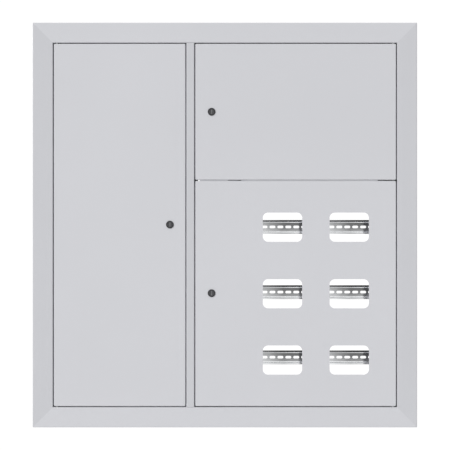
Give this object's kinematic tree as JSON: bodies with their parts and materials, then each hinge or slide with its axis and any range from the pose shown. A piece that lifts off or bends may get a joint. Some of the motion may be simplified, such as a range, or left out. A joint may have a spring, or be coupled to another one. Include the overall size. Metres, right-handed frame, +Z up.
{
  "type": "floor distribution board",
  "caption": "Flush sheet-metal landing board with a mitred surround, a tall side door, a breaker door and a meter door with rounded windows over slotted rails.",
  "frame": {"origin": "centre of the rear plane, in the middle of the four rear fixing holes", "axes": "+X to the right seen from the front, +Y into the wall, +Z up; the doors face -Y"},
  "size_m": [0.95, 0.142, 1],
  "materials": {
    "sheet_paint": "semi-matt light grey powder coat",
    "upright_paint": "semi-matt light grey powder coat",
    "box_paint": "semi-matt light grey powder coat",
    "zinc": "zinc-plated sheet",
    "bright_zinc": "bright zinc-plated",
    "dark_zinc": "blackened",
    "rubber": "moulded, matt",
    "lock_dark": "dark satin die casting",
    "lock_plug": "dark satin",
    "brass": "drawn bar",
    "post_plastic": "moulded"
  },
  "bodies": {
    "enclosure": {"bottom_wall": "box_paint", "breaker_rail_1": "zinc", "breaker_rail_2": "zinc", "breaker_upright_left": "zinc", "breaker_upright_right": "zinc", "centre_mullion": "upright_paint", "earth_busbar": "brass", "earth_busbar_feet": "zinc", "earth_busbar_screws": "bright_zinc", "earth_stud": "bright_zinc", "earth_stud_nut": "bright_zinc", "earth_stud_washer": "bright_zinc", "foot_screws": "bright_zinc", "frame_bottom_rail": "sheet_paint", "frame_left_stile": "upright_paint", "frame_right_stile": "upright_paint", "frame_top_rail": "sheet_paint", "hinge_pins": "bright_zinc", "horizontal_divider": "box_paint", "meter_rail_left_1": "zinc", "meter_rail_left_2": "zinc", "meter_rail_left_3": "zinc", "meter_rail_right_1": "zinc", "meter_rail_right_2": "zinc", "meter_rail_right_3": "zinc", "meter_upright_centre": "zinc", "meter_upright_left": "zinc", "meter_upright_right": "zinc", "middle_hinge_pin": "bright_zinc", "middle_hinge_tab": "dark_zinc", "neutral_busbar": "brass", "neutral_busbar_posts": "post_plastic", "neutral_busbar_screws": "bright_zinc", "rail_screws": "bright_zinc", "side_wall_left": "box_paint", "side_wall_right": "box_paint", "stop_buffer": "rubber", "top_wall": "box_paint", "vertical_partition": "box_paint"},
    "left_door": {"left_door": "sheet_paint", "left_lock_body": "lock_dark", "left_lock_nut": "bright_zinc"},
    "left_lock": {"left_lock_plug": "lock_plug", "left_lock_cam": "bright_zinc", "left_cam_screw": "bright_zinc"},
    "upper_door": {"upper_door": "sheet_paint", "upper_lock_body": "lock_dark", "upper_lock_nut": "bright_zinc"},
    "upper_lock": {"upper_lock_plug": "lock_plug", "upper_lock_cam": "bright_zinc", "upper_cam_screw": "bright_zinc"},
    "lower_door": {"lower_door": "sheet_paint", "lower_lock_body": "lock_dark", "lower_lock_nut": "bright_zinc"},
    "lower_lock": {"lower_lock_plug": "lock_plug", "lower_lock_cam": "bright_zinc", "lower_cam_screw": "bright_zinc"}
  },
  "joints": [
    {"name": "left_door_hinge", "type": "hinge", "parent": "enclosure", "child": "left_door", "pos_m": [-0.415, -0.135, 0], "axis": [0, 0, -1], "range_deg": [0, 110]},
    {"name": "upper_door_hinge", "type": "hinge", "parent": "enclosure", "child": "upper_door", "pos_m": [0.415, -0.135, 0.28], "axis": [0, 0, 1], "range_deg": [0, 110]},
    {"name": "lower_door_hinge", "type": "hinge", "parent": "enclosure", "child": "lower_door", "pos_m": [0.415, -0.135, -0.16875], "axis": [0, 0, 1], "range_deg": [0, 110]},
    {"name": "left_lock_turn", "type": "hinge", "parent": "left_door", "child": "left_lock", "pos_m": [-0.1358, -0.14, 0.001], "axis": [0, -1, 0], "range_deg": [0, 90]},
    {"name": "upper_lock_turn", "type": "hinge", "parent": "upper_door", "child": "upper_lock", "pos_m": [-0.0329, -0.14, 0.2796], "axis": [0, 1, 0], "range_deg": [0, 90]},
    {"name": "lower_lock_turn", "type": "hinge", "parent": "lower_door", "child": "lower_lock", "pos_m": [-0.0329, -0.14, -0.1684], "axis": [0, 1, 0], "range_deg": [0, 90]}
  ]
}
